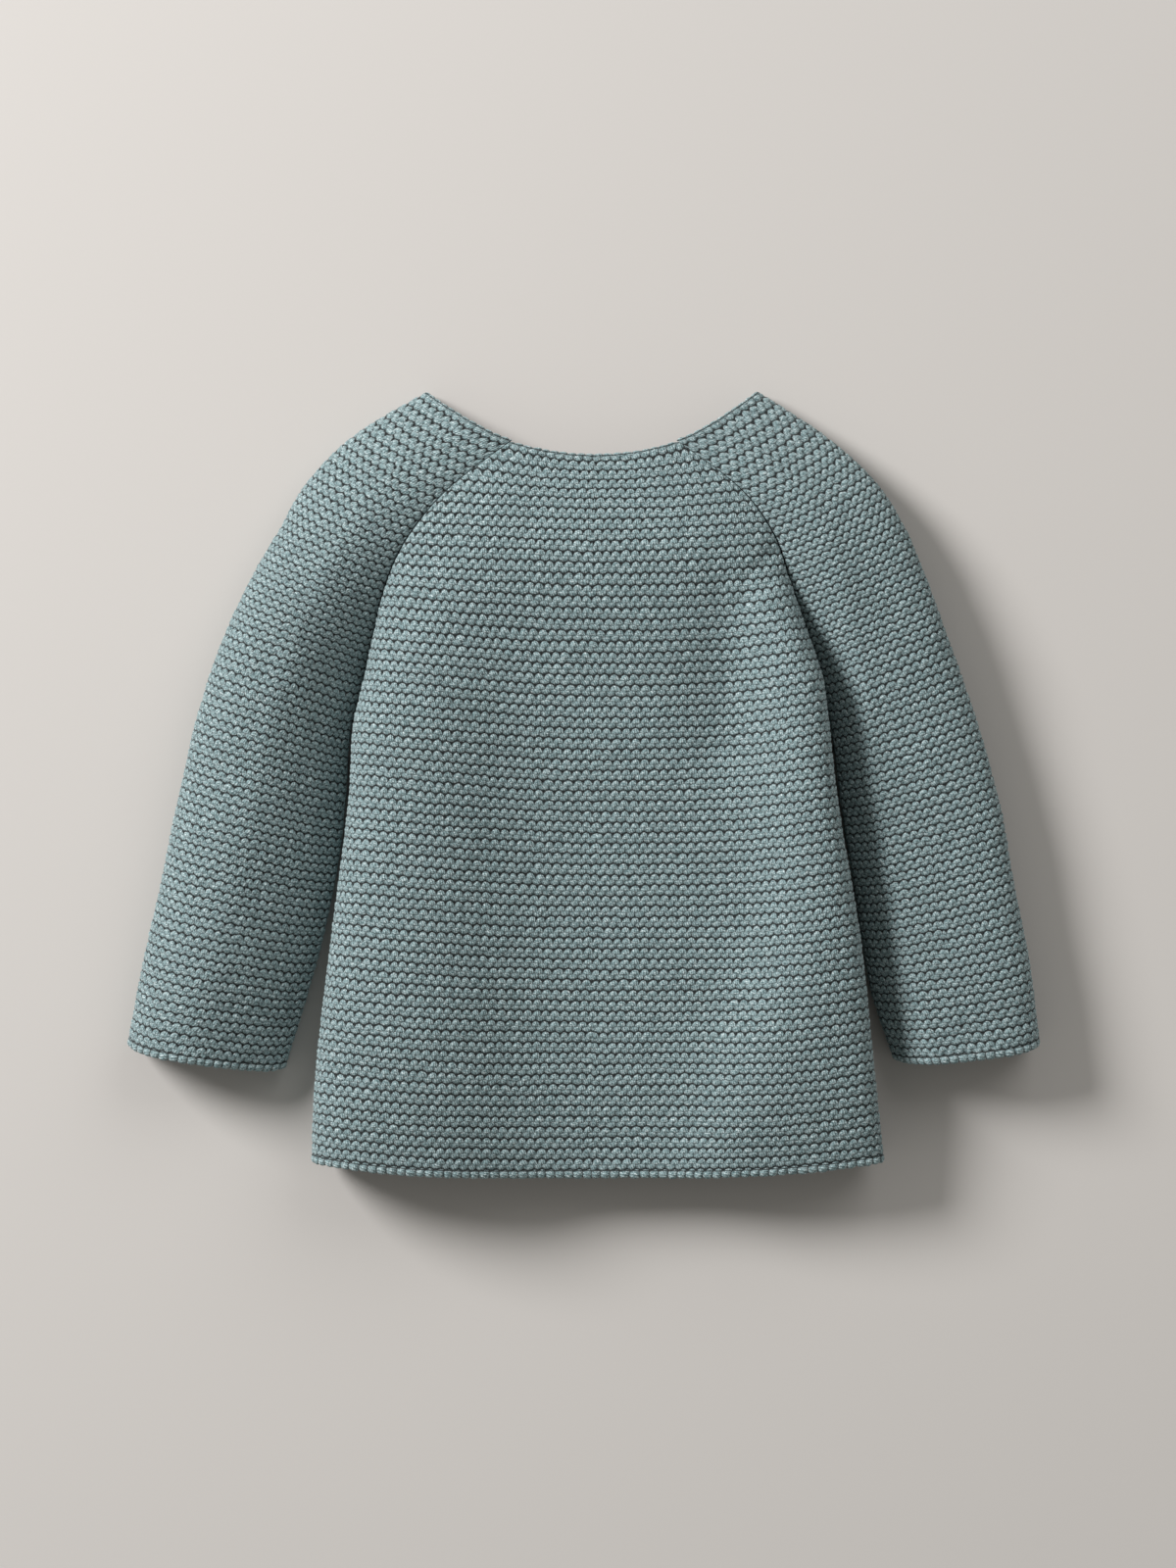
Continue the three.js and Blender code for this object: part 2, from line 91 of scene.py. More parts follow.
# From the pattern to the frame. The back's box begins at the left end of the hem, and as far down as the
# hem's middle hangs.
box_corner = np.array(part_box("back")[0])
hem_corner = np.array([-BODY["left"][0], HEM_Y - BODY["bow"][0], 0]) * MM
place = np.array([box_corner[0] - hem_corner[0], box_corner[1] - hem_corner[1], 0])


def read(table, name, y):
    """One column of a table at the heights y: a cubic between two rows, whose slopes there come from
    the rows before and after."""
    at, value = np.array(table["y"]), np.array(table[name], float)
    rows = np.arange(len(at))
    before, after = np.maximum(rows - 1, 0), np.minimum(rows + 1, len(at) - 1)
    slope = (value[after] - value[before]) / (at[after] - at[before])
    low = np.clip(np.searchsorted(at, y, side="right") - 1, 0, len(at) - 2)
    span = at[low + 1] - at[low]
    t = np.clip((y - at[low]) / span, 0, 1)
    rising = t * t * (3 - 2 * t)
    bend = t * (1 - t) ** 2 * span * slope[low] - t * t * (1 - t) * span * slope[low + 1]
    return (1 - rising) * value[low] + rising * value[low + 1] + bend


def yoke(y):
    """0 at the underarm and below it, rising to 1 at the neck."""
    return np.clip((y - UNDERARM_Y) / (NECK_Y - UNDERARM_Y), 0, 1)


def spread(path, columns):
    """Points at equal distances along each row's path, and the distance of each from the row's start.
    The running length along the path is cut into equal parts, and the path is read there."""
    steps = np.linalg.norm(np.diff(path, axis=1), axis=2)
    along = np.concatenate([np.zeros((len(path), 1)), np.cumsum(steps, axis=1)], axis=1)
    wanted = along[:, -1:] * np.linspace(0, 1, columns + 1)
    apart = (along.max() + 1) * np.arange(len(path))[:, None]  # so that no row runs into the next
    at = (along + apart).ravel()
    points = [np.interp(wanted + apart, at, path[..., axis].ravel()) for axis in range(3)]
    return np.stack(points, axis=-1), wanted


def soft_noise(x, y, seed):
    """Smooth noise from -1 to 1: random values on a square lattice, blended by a smooth step."""
    lattice = np.random.default_rng(seed).uniform(-1, 1, (LATTICE + 1, LATTICE + 1))
    i, j = np.floor(x).astype(int), np.floor(y).astype(int)
    u, v = x - i, y - j
    u, v = u * u * (3 - 2 * u), v * v * (3 - 2 * v)
    i, j = i % LATTICE, j % LATTICE
    lower = lattice[i, j] * (1 - u) + lattice[i + 1, j] * u
    upper = lattice[i, j + 1] * (1 - u) + lattice[i + 1, j + 1] * u
    return lower * (1 - v) + upper * v


# The yarn of one stitch, as three parts of a ridge: the head of a loop, the foot of the next one, and
# the slanted leg between them. Lengths are in stitches and ridges, and a bend of 1 curves a part's
# middle line down by the square of the distance from its middle.
STITCH_PARTS = {
    "part": ("head", "foot", "leg"),
    "across": (0.72, 0.24, 0.48),
    "up": (0.72, 0.26, 0.50),
    "half_length": (0.52, 0.56, 0.30),
    "half_width": (0.30, 0.28, 0.25),
    "slant": (0.0, 0.08, 0.90),
    "bend": (0.60, -0.25, 0.0),
    "raised": (1.0, 0.90, 0.72),
}
YARN_ROUNDNESS = 0.38  # power of a part's curve: 0.5 is a half round, and less is flatter on top


def part_height(stitch, ridge, part):
    """Height of one part of the stitches: a flattened round over an ellipse, of the part's length and
    width, that is slanted and bent."""
    size = {name: column[STITCH_PARTS["part"].index(part)] for name, column in STITCH_PARTS.items()}
    across = (stitch - size["across"] + 0.5) % 1 - 0.5
    up = (ridge - size["up"] + 0.5) % 1 - 0.5
    cosine, sine = np.cos(size["slant"]), np.sin(size["slant"])
    along = across * cosine + up * sine
    aside = up * cosine - across * sine + size["bend"] * along * along
    square = (along / size["half_length"]) ** 2 + (aside / size["half_width"]) ** 2
    return size["raised"] * np.clip(1 - square, 0, 1) ** YARN_ROUNDNESS


def garter_height(stitch, ridge, from_edge):
    """Height of the knitting from 0 in a gap to 1 on the yarn: the highest of the stitch's parts. The
    first and last row are upright round bumps."""
    parts = [part_height(stitch, ridge, part) for part in STITCH_PARTS["part"]]
    yarn = np.maximum(parts[0], np.maximum(parts[1], parts[2]))
    bump = np.clip(1 - (2 * (stitch % 1) - 1) ** 2, 0, 1) ** YARN_ROUNDNESS
    bump *= np.clip((CAST_ON - from_edge) * BUMP_STEEPNESS, 0, 1)
    return np.where(from_edge < CAST_ON, bump, yarn)


def outward(grid, turn):
    """Unit normals of a grid of points, from the directions down and across it."""
    normal = turn * np.cross(np.gradient(grid, axis=0), np.gradient(grid, axis=1))
    return normal / np.linalg.norm(normal, axis=2, keepdims=True)


def round_edge(grid, normal, end):
    """Rows that carry a face round the wall's thickness past its first or last row: half a circle of
    the wall's thickness, from the outside to just before the inside."""
    edge, inside = (grid[0], grid[1]) if end == "first" else (grid[-1], grid[-2])
    face = normal[0] if end == "first" else normal[-1]
    on = edge - inside
    on -= (on * face).sum(1, keepdims=True) * face
    on /= np.linalg.norm(on, axis=1, keepdims=True)
    sine, cosine = np.sin(RIM_ANGLES)[:, None, None], np.cos(RIM_ANGLES)[:, None, None]
    points = edge + WALL / 2 * (on * sine - face * (1 - cosine))
    return points, face * cosine + on * sine


# How uneven the hand's knitting is, as soft noises: what each one moves and how far, in stitches and
# ridges, and how many of its cells there are to a stitch and to a ridge.
SHIFTS = {
    "moves": ("stitch", "stitch", "ridge", "ridge"),
    "by": (0.14, 0.25, 0.08, 0.08),
    "cells_a_stitch": (0.8, 0.15, 0.8, 0.12),
    "cells_a_ridge": (0.8, 0.3, 0.8, 0.3),
    "seed": (11, 13, 12, 14),
}
LOOSE_LOOPS = 0.18  # how far a loose loop stands out, and a tight one in
LOOSE_CELLS, LOOSE_SEED = 1.1, 15


def uneven_stitches(stitch, ridge):
    """The stitches and ridges at each point, moved by the sum of their soft noises."""
    moved = {"stitch": stitch, "ridge": ridge}
    for moves, by, cells_a_stitch, cells_a_ridge, seed in zip(*SHIFTS.values()):
        shift = by * soft_noise(stitch * cells_a_stitch, ridge * cells_a_ridge, seed)
        moved[moves] = moved[moves] + shift
    return moved["stitch"], moved["ridge"]


def border(index):
    """The numbers along a grid's border, as a loop from its first corner along its first row."""
    return np.concatenate([index[0, :-1], index[:-1, -1], index[-1, :0:-1], index[:0:-1, 0]])


def wall_faces(outside, inside):
    """The squares of a closed wall, whose points are numbered by two grids, and the triangles that join
    the grids' borders. To each inside point of a border belong INNER_STEP outside ones. The first half of
    their edges run to it and the others to the next inside point, and one more triangle fills the corner
    between them. The round edges add outside points, which belong to the inside's corners."""
    squares = outside[:-1, :-1], outside[1:, :-1], outside[1:, 1:], outside[:-1, 1:]
    inner_squares = inside[:-1, :-1], inside[:-1, 1:], inside[1:, 1:], inside[1:, :-1]
    quads = [np.stack(corners, axis=-1).reshape(-1, 4) for corners in (squares, inner_squares)]
    fine = border(outside).reshape(-1, INNER_STEP)
    next_fine = np.roll(fine.ravel(), -1).reshape(fine.shape)
    last_side, first_side = inside[:, -1], inside[::-1, 0]
    coarse = np.concatenate([
        inside[0, :-1], last_side[:1], last_side, inside[-1, :0:-1], first_side[:1], first_side,
    ])
    assert len(coarse) == len(fine)
    ahead = np.roll(coarse, -1)
    half = INNER_STEP // 2
    toward = np.where(np.arange(INNER_STEP) < half, coarse[:, None], ahead[:, None])
    strip = np.stack([fine, next_fine, toward], axis=-1).reshape(-1, 3)
    strip = np.concatenate([strip, np.stack([fine[:, half], ahead, coarse], axis=-1)])
    return np.concatenate(quads), strip[strip[:, 1] != strip[:, 2]]


def edge_distance(rows):
    """Distance in ridges of each point from the hem, and past the bumps of the cast-off from the neck,
    whichever is less, measured up and down the columns and round the edges."""
    steps = np.linalg.norm(np.diff(rows, axis=0), axis=2)
    from_top = np.concatenate([np.zeros_like(steps[:1]), np.cumsum(steps, axis=0)]) - RIM_TIP
    from_end = from_top[-1:] - RIM_TIP - from_top
    return np.minimum(from_end / RIDGE, from_top / RIDGE + CAST_ON - CAST_OFF)


def knit(name, grid, stitch, ridge, seam_distance, turn):
    """A knitted panel as a closed wall. The outside is the grid, moved along its normals by the
    knitting's height and by the roll of the sewn edges, with the first and last row carried round the
    edge. The inside is every fourth point of the grid, the wall's thickness further in."""
    kept = np.s_[TRIMMED_ROWS:-TRIMMED_ROWS]
    grid, stitch, ridge, seam_distance = grid[kept], stitch[kept], ridge[kept], seam_distance[kept]
    normal = outward(grid, turn)
    inner = (grid - normal * WALL)[::INNER_STEP, ::INNER_STEP]
    first, first_normal = round_edge(grid, normal, "first")
    last, last_normal = round_edge(grid, normal, "last")
    outer = np.concatenate([first[::-1], grid, last])
    normal = np.concatenate([first_normal[::-1], normal, last_normal])
    from_edge = edge_distance(outer)

    pad = len(RIM_ANGLES)
    round_steps = RIM_ANGLES[0] * WALL / 2 / RIDGE * np.arange(1, pad + 1)[:, None]
    shifted_stitch, shifted_ridge = uneven_stitches(stitch, ridge)
    stitches = np.pad(shifted_stitch, ((pad, pad), (0, 0)), mode="edge")
    ridges = np.concatenate([ridge[:1] + round_steps[::-1], shifted_ridge, ridge[-1:] - round_steps])
    near_seam = np.pad(seam_distance, ((pad, pad), (0, 0)), mode="edge")
    height = garter_height(stitches, ridges, from_edge)
    uneven = LOOSE_LOOPS * soft_noise(stitches * LOOSE_CELLS, ridges * LOOSE_CELLS, LOOSE_SEED)
    roll = SEAM_ROLL * np.clip(1 - near_seam / SEAM_ROLL_WIDTH, 0, 1) ** 2
    loops = CROWN_LIFT - RELIEF * (1 - height) + uneven
    move = loops * np.clip(near_seam / SEAM_FADE, 0, 1) - roll
    outer = outer + normal * move[..., None]
    outer[..., 2] = np.maximum(outer[..., 2], 0)
    inner[..., 2] = np.maximum(inner[..., 2], 0)

    outside = np.arange(height.size).reshape(height.shape)
    inside = height.size + np.arange(inner[..., 0].size).reshape(inner.shape[:2])
    quads, strip = wall_faces(outside, inside)
    if turn < 0:
        quads, strip = quads[:, ::-1], strip[:, ::-1]
    points = np.concatenate([outer.reshape(-1, 3), inner.reshape(-1, 3)])
    mesh = bpy.data.meshes.new(name)
    mesh.from_pydata((points * MM + place).tolist(), [], quads.tolist() + strip.tolist())
    mesh.polygons.foreach_set("use_smooth", np.ones(len(mesh.polygons), bool))

    corner = np.empty(len(mesh.loops), np.int64)
    mesh.loops.foreach_get("vertex_index", corner)
    behind = np.s_[pad:-pad:INNER_STEP, ::INNER_STEP]
    kinds = stitches, ridges, from_edge
    values = [np.concatenate([value.ravel(), value[behind].ravel()]) for value in kinds]
    cells = np.stack(values[:2], axis=-1)[corner].astype(np.float32)
    mesh.uv_layers.new(name="stitches").data.foreach_set("uv", cells.ravel())
    mesh.attributes.new("from_edge", "FLOAT", "POINT").data.foreach_set("value", values[2])
    panel = bpy.data.objects.new(name, mesh)
    bpy.context.collection.objects.link(panel)
    panel.data.materials.append(cotton)
    return panel


def back_edge(side, y):
    """The back's edge: the raglan seam above the underarm, the side seam below it."""
    x = side * read(BODY, "left" if side == LEFT else "right", y)
    return np.stack([x, y, read(BODY, "seam", y)], axis=-1)


def back_rows(y, columns):
    """The back's rows: a flattened arch from seam to seam, upright at the side seams and flatter in
    the yoke, less a broad hollow with soft slopes. A row's middle hangs a little lower than its ends, by
    a power of the distance from the middle."""
    start, end = back_edge(LEFT, y)[:, None], back_edge(RIGHT, y)[:, None]
    across = -np.cos(np.pi * np.linspace(0, 1, PATH_STEPS + 1))[None, :]
    path = start + (end - start) * ((1 + across) / 2)[..., None]
    up = yoke(y)[:, None]
    roundness = np.where(across < 0, BODY_ROUNDNESS["left"], BODY_ROUNDNESS["right"])
    roundness = roundness + (NECK_ROUNDNESS - roundness) * up
    crown = np.clip(1 - np.abs(across) ** roundness, 0, 1) ** (1 / roundness + (1 - 1 / roundness) * up)
    fall_at, fall, rise_at, rise = (
        read(BODY, name, y)[:, None] for name in ("fall_at", "fall", "rise_at", "rise"))
    fallen = (1 + np.tanh((across - fall_at) / FALL_WIDTH)) / 2
    risen = (1 + np.tanh((across - rise_at) / RISE_WIDTH)) / 2
    sag = fall * fallen - rise * risen
    bow = read(BODY, "bow", y)[:, None]
    left_curve, right_curve = read(BODY, "left_curve", y)[:, None], read(BODY, "right_curve", y)[:, None]
    curve = np.where(across < 0, left_curve, right_curve)
    path[..., 1] -= bow * (1 - np.abs(across) ** curve)
    path[..., 2] += (read(BODY, "top", y)[:, None] - path[..., 2] - sag) * crown
    return spread(path, columns)


# Soft creases of the back, as troughs along straight lines from a start to an end, in millimetres.
CREASES = {
    "start_x": (59, 73, 71, -52, -58),
    "start_y": (74, 89, 78, 92, 74),
    "end_x": (55, 63, 61, -66, -70),
    "end_y": (16, 79, 70, 82, 60),
    "width": (14, 3, 3, 5, 5),
    "depth": (4.0, 1.2, 1.0, 0.8, 0.8),
}


def creased(grid):
    """The grid with its creases pressed in. A crease falls off with the square of the distance from
    its line, as a bell curve."""
    for x, y, end_x, end_y, width, depth in zip(*CREASES.values()):
        run = np.array([end_x - x, end_y - y])
        from_start = grid[..., :2] - (x, y)
        share = np.clip(from_start @ run / (run @ run), 0, 1)
        square = ((from_start - share[..., None] * run) ** 2).sum(axis=-1)
        grid[..., 2] -= depth * np.exp(-square / width ** 2)
    return grid


def calculate(tree, operation, *values):
    """The result of a Math node on numbers and on other nodes' outputs."""
    node = tree.nodes.new("ShaderNodeMath")
    node.operation = operation
    for socket, value in zip(node.inputs, values):
        if isinstance(value, bpy.types.NodeSocket):
            tree.links.new(value, socket)
        else:
            socket.default_value = value
    return node.outputs[0]


def smooth_step(tree, value, low, high):
    """0 below low, 1 above high and a smooth step between them."""
    node = tree.nodes.new("ShaderNodeMapRange")
    node.interpolation_type = "SMOOTHSTEP"
    node.inputs["From Min"].default_value = low
    node.inputs["From Max"].default_value = high
    tree.links.new(value, node.inputs["Value"])
    return node.outputs[0]


def new_group(name, inputs, outputs):
    """An empty node group with named number inputs and outputs, and its two end nodes."""
    tree = bpy.data.node_groups.new(name, "ShaderNodeTree")
    for label in inputs:
        tree.interface.new_socket(label, in_out="INPUT", socket_type="NodeSocketFloat")
    for label in outputs:
        tree.interface.new_socket(label, in_out="OUTPUT", socket_type="NodeSocketFloat")
    return tree, tree.nodes.new("NodeGroupInput").outputs, tree.nodes.new("NodeGroupOutput").inputs


def place_group(tree, group, **values):
    """Puts a group into a tree, with numbers or other nodes' outputs on its named inputs."""
    node = tree.nodes.new("ShaderNodeGroup")
    node.node_tree = group
    for label, value in values.items():
        socket = node.inputs[label.replace("_", " ")]
        if isinstance(value, bpy.types.NodeSocket):
            tree.links.new(value, socket)
        else:
            socket.default_value = value
    return node.outputs


def stitch_part_group():
    """The parts of part_height in a shader. Height is the same as there, Along is the distance from the
    part's middle and Across runs from -1 to 1 over the yarn's width."""
    place_inputs = "Stitch", "Ridge", "Middle across", "Middle up"
    shape_inputs = "Half length", "Half width", "Slant", "Bend", "Raised"
    outputs = "Height", "Along", "Across"
    tree, given, result = new_group("stitch_part", place_inputs + shape_inputs, outputs)

    def from_middle(value, middle):
        shifted = calculate(tree, "ADD", calculate(tree, "SUBTRACT", value, middle), 0.5)
        return calculate(tree, "SUBTRACT", calculate(tree, "FRACT", shifted), 0.5)

    across = from_middle(given["Stitch"], given["Middle across"])
    up = from_middle(given["Ridge"], given["Middle up"])
    cosine = calculate(tree, "COSINE", given["Slant"])
    sine = calculate(tree, "SINE", given["Slant"])
    along = calculate(tree, "MULTIPLY_ADD", up, sine, calculate(tree, "MULTIPLY", across, cosine))
    up_turned = calculate(tree, "MULTIPLY", up, cosine)
    straight = calculate(tree, "SUBTRACT", up_turned, calculate(tree, "MULTIPLY", across, sine))
    bent = calculate(tree, "MULTIPLY", calculate(tree, "MULTIPLY", along, along), given["Bend"])
    lengthwise = calculate(tree, "DIVIDE", along, given["Half length"])
    crosswise = calculate(tree, "DIVIDE", calculate(tree, "ADD", straight, bent), given["Half width"])
    crosswise_square = calculate(tree, "MULTIPLY", crosswise, crosswise)
    square = calculate(tree, "MULTIPLY_ADD", lengthwise, lengthwise, crosswise_square)
    inside = calculate(tree, "MAXIMUM", calculate(tree, "SUBTRACT", 1, square), 0)
    dome = calculate(tree, "POWER", inside, YARN_ROUNDNESS)
    tree.links.new(calculate(tree, "MULTIPLY", dome, given["Raised"]), result["Height"])
    tree.links.new(along, result["Along"])
    tree.links.new(crosswise, result["Across"])
    return tree


def garter_stitch_group():
    """The knitting of garter_height in a shader: the highest part of the stitch, with the place along
    and across its yarn, and the round bumps of the first and last row."""
    outputs = "Height", "Along", "Across"
    tree, given, result = new_group("garter_stitch", ("Stitch", "Ridge", "From edge"), outputs)
    part_group = stitch_part_group()
    stitch, ridge = given["Stitch"], given["Ridge"]

    def choose(chooser, chosen, other):
        node = tree.nodes.new("ShaderNodeMix")
        for label, value in (("Factor", chooser), ("A", other), ("B", chosen)):
            tree.links.new(value, node.inputs[label])
        return node.outputs["Result"]

    height, along, across = None, None, None
    for column in zip(*STITCH_PARTS.values()):
        size = dict(zip(STITCH_PARTS, column))
        yarn = place_group(
            tree, part_group, Stitch=stitch, Ridge=ridge, Middle_across=size["across"],
            Middle_up=size["up"], Half_length=size["half_length"], Half_width=size["half_width"],
            Slant=size["slant"], Bend=size["bend"], Raised=size["raised"],
        )
        if height is None:
            height, along, across = yarn["Height"], yarn["Along"], yarn["Across"]
        else:
            higher = calculate(tree, "GREATER_THAN", yarn["Height"], height)
            along = choose(higher, yarn["Along"], along)
            across = choose(higher, yarn["Across"], across)
            height = calculate(tree, "MAXIMUM", yarn["Height"], height)

    at_edge = calculate(tree, "LESS_THAN", given["From edge"], CAST_ON)
    beside = calculate(tree, "SUBTRACT", calculate(tree, "FRACT", stitch), 0.5)
    beside = calculate(tree, "MULTIPLY", beside, 2)
    bump = calculate(tree, "SUBTRACT", 1, calculate(tree, "MULTIPLY", beside, beside))
    bump = calculate(tree, "POWER", calculate(tree, "MAXIMUM", bump, 0), YARN_ROUNDNESS)
    to_end = calculate(tree, "SUBTRACT", CAST_ON, given["From edge"])
    bump_end = calculate(tree, "MULTIPLY", to_end, BUMP_STEEPNESS)
    bump = calculate(tree, "MULTIPLY", bump, calculate(tree, "MINIMUM", bump_end, 1))
    tree.links.new(choose(at_edge, bump, height), result["Height"])
    tree.links.new(choose(at_edge, given["From edge"], along), result["Along"])
    tree.links.new(choose(at_edge, beside, across), result["Across"])
    return tree


def noise(tree, place, scale, detail, roughness):
    """A noise texture from 0 to 1, read at a place."""
    node = tree.nodes.new("ShaderNodeTexNoise")
    node.inputs["Scale"].default_value = scale
    node.inputs["Detail"].default_value = detail
    node.inputs["Roughness"].default_value = roughness
    tree.links.new(place, node.inputs["Vector"])
    return node.outputs[0]


def mixed_colour(tree, factor, first, second, blend="MIX"):
    """Two colours blended by a factor."""
    node = tree.nodes.new("ShaderNodeMix")
    node.data_type = "RGBA"
    node.blend_type = blend
    for label, value in (("Factor_Float", factor), ("A_Color", first), ("B_Color", second)):
        socket = next(found for found in node.inputs if found.identifier == label)
        if isinstance(value, bpy.types.NodeSocket):
            tree.links.new(value, socket)
        else:
            socket.default_value = value
    return next(found for found in node.outputs if found.identifier == "Result_Color")


DARK_FIBRE = (0.064, 0.118, 0.127, 1)
LIGHT_FIBRE = (0.300, 0.422, 0.438, 1)
PALE_FIBRE = (0.62, 0.72, 0.73, 1)
HEATHER_NOISE = {"scale": 1300, "detail": 3, "roughness": 0.7}  # the scale is in cells to a metre
HEATHER_RANGE = (0.32, 0.68)  # of its noise, from the dark fibre to the light one
PATCH_NOISE = {"scale": 40, "detail": 2, "roughness": 0.5}  # the dye's patches
PATCH_SHADE = 0.92  # brightness of the darkest patch
FIBRE_NOISE = {"scale": 1, "detail": 2, "roughness": 0.6}
FIBRES_ALONG, FIBRES_ACROSS = 4, 3  # cells of the fibres' noise to a stitch, and to half the yarn
FIBRE_LEAN = 0.25  # how far the fibres lean with the twist
FIBRE_SHIFT = 7.31  # of the fibres' noise from one ridge to the next, so that no two are alike
PALE_RANGE, PALE_SHARE = (0.52, 0.66), 0.9  # where the noise makes a fibre pale, and how pale at most
PAINTED_SHADE_IN_GAPS_RANGE, PAINTED_SHADE_IN_GAPS = (0.1, 0.9), 0.02  # painted shade in the gaps between the loops: the loop height at which it fades out, and the colour's brightness in it
PLY_TURNS, PLY_SLANT = 24, 2.2  # the plies' twist along the yarn and across it, as angles
PAINTED_SHADE_BETWEEN_PLIES = 0.68  # painted shade between two plies: the colour's brightness there
PLY_DEPTH, FIBRE_DEPTH = 0.24, 0.22  # as shares of a loop's height
BUMP_DEPTH = 0.7  # of a whole loop, as the light takes it, in millimetres
COTTON_SURFACE = {
    "Roughness": 0.92,
    "Specular IOR Level": 0.25,
    "Sheen Weight": 0.25,
    "Sheen Roughness": 0.6,
    "Sheen Tint": (0.75, 0.85, 0.86, 1),
}


def cotton_material():
    """Matt cotton, spun from grey-teal fibres of several shades. The yarn is twisted from plies, and
    painted shade darkens its colour in the gaps between its loops and between its plies."""
    material = bpy.data.materials.new("heathered_cotton")
    material.use_nodes = True
    tree = material.node_tree
    shader = tree.nodes["Principled BSDF"]
    cells = tree.nodes.new("ShaderNodeUVMap")
    cells.uv_map = "stitches"
    cell = tree.nodes.new("ShaderNodeSeparateXYZ")
    tree.links.new(cells.outputs[0], cell.inputs[0])
    edge = tree.nodes.new("ShaderNodeAttribute")
    edge.attribute_name = "from_edge"
    stitch, ridge = cell.outputs[0], cell.outputs[1]
    knitting = place_group(
        tree, garter_stitch_group(), Stitch=stitch, Ridge=ridge, From_edge=edge.outputs["Fac"],
    )
    height, along, across = knitting["Height"], knitting["Along"], knitting["Across"]
    point = tree.nodes.new("ShaderNodeTexCoord").outputs["Object"]

    turned = calculate(tree, "MULTIPLY", along, PLY_TURNS)
    ply_angle = calculate(tree, "MULTIPLY_ADD", across, PLY_SLANT, turned)
    ply = calculate(tree, "MULTIPLY_ADD", calculate(tree, "SINE", ply_angle), 0.5, 0.5)
    fibre_place = tree.nodes.new("ShaderNodeCombineXYZ")
    twisted = calculate(tree, "MULTIPLY_ADD", across, FIBRE_LEAN, along)
    tree.links.new(calculate(tree, "MULTIPLY", twisted, FIBRES_ALONG), fibre_place.inputs[0])
    tree.links.new(calculate(tree, "MULTIPLY", across, FIBRES_ACROSS), fibre_place.inputs[1])
    tree.links.new(calculate(tree, "MULTIPLY_ADD", ridge, FIBRE_SHIFT, stitch), fibre_place.inputs[2])
    fibres = noise(tree, fibre_place.outputs[0], **FIBRE_NOISE)
    heather = noise(tree, point, **HEATHER_NOISE)
    patches = noise(tree, point, **PATCH_NOISE)

    shade = smooth_step(tree, heather, *HEATHER_RANGE)
    colour = mixed_colour(tree, shade, DARK_FIBRE, LIGHT_FIBRE)
    pale = calculate(tree, "MULTIPLY", smooth_step(tree, fibres, *PALE_RANGE), PALE_SHARE)
    colour = mixed_colour(tree, pale, colour, PALE_FIBRE)
    # Painted shade: the colour darkens in the gaps between the loops, where the yarn is low.
    out_of_gap = smooth_step(tree, height, *PAINTED_SHADE_IN_GAPS_RANGE)
    lit = calculate(tree, "MULTIPLY_ADD", out_of_gap, 1 - PAINTED_SHADE_IN_GAPS, PAINTED_SHADE_IN_GAPS)
    # Painted shade between the plies, along the yarn's twist.
    ply_painted_shade = calculate(tree, "MULTIPLY_ADD", ply, 1 - PAINTED_SHADE_BETWEEN_PLIES, PAINTED_SHADE_BETWEEN_PLIES)
    cloudy = calculate(tree, "MULTIPLY_ADD", patches, 2 * (1 - PATCH_SHADE), PATCH_SHADE)
    # The painted shade of the gaps and of the plies, times the dye's patches, darkens the fibres' colour.
    lit = calculate(tree, "MULTIPLY", calculate(tree, "MULTIPLY", lit, ply_painted_shade), cloudy)
    lit_colour = tree.nodes.new("ShaderNodeCombineColor")
    for socket in lit_colour.inputs[:3]:
        tree.links.new(lit, socket)
    colour = mixed_colour(tree, 1.0, colour, lit_colour.outputs[0], "MULTIPLY")
    tree.links.new(colour, shader.inputs["Base Color"])

    relief = calculate(tree, "MULTIPLY_ADD", ply, PLY_DEPTH, height)
    relief = calculate(tree, "MULTIPLY_ADD", fibres, FIBRE_DEPTH, relief)
    bump = tree.nodes.new("ShaderNodeBump")
    bump.inputs["Strength"].default_value = 1
    bump.inputs["Distance"].default_value = BUMP_DEPTH * MM
    tree.links.new(relief, bump.inputs["Height"])
    tree.links.new(bump.outputs[0], shader.inputs["Normal"])
    for label, value in COTTON_SURFACE.items():
        shader.inputs[label].default_value = value
    return material


cotton = cotton_material()


def lay(panel, node):
    """Hangs a panel from the root's empty, and hides the part of model.glb that it takes the place of."""
    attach(panel, "root")
    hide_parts(node)


rows = np.linspace(NECK_Y, HEM_Y, BODY_RIDGES * ROWS_A_RIDGE + 1)
grid, along = back_rows(rows, BACK_COLUMNS)
grid = creased(grid)
ridge = np.broadcast_to(((rows - HEM_Y) * BODY_RIDGES / (NECK_Y - HEM_Y))[:, None], along.shape)
length = along[:, -1:]
stitch = (along - length / 2) / STITCH
back = knit("back_panel", grid, stitch, ridge, np.minimum(along, length - along), 1)
lay(back, "back")


# The fronts
# Two panels of the same knitting, which lie flat under the back. Each comes round from its side seam,
# and the right one's edge lies on the left one's. They reach less high than the back, to a round neck.
FRONT_RAGLAN_OUT = 4.9  # how much further out the raglan seam ends at the neck than the back's
FRONT_RAGLAN_DOWN = 9.9  # and how much lower
FRONT_RAGLAN_LIFT = 32  # above the underarm, where the raglan seam reaches the surface
FRONT_NECK_DROP = 22.8  # from the raglan seam down to the middle of the neck
SIDE_TURN = 14  # width of the round from the side seam down to the surface
OVERLAP = 12  # of the two fronts
STEP_START, STEP_END = 12, 1  # how far outside the overlap the right front begins to rise, and is up
SEAM_GAP = 0.1
FRONT_COLUMNS = 172  # mesh columns, a multiple of INNER_STEP


def front_edge_height(y, side_height):
    """Height of a front's edge: the side seam's, and down to the surface within the yoke."""
    fall = np.clip(1 - (y - UNDERARM_Y) / FRONT_RAGLAN_LIFT, 0, 1)
    return np.where(y > UNDERARM_Y, read(BODY, "seam", UNDERARM_Y) * fall * fall, side_height)


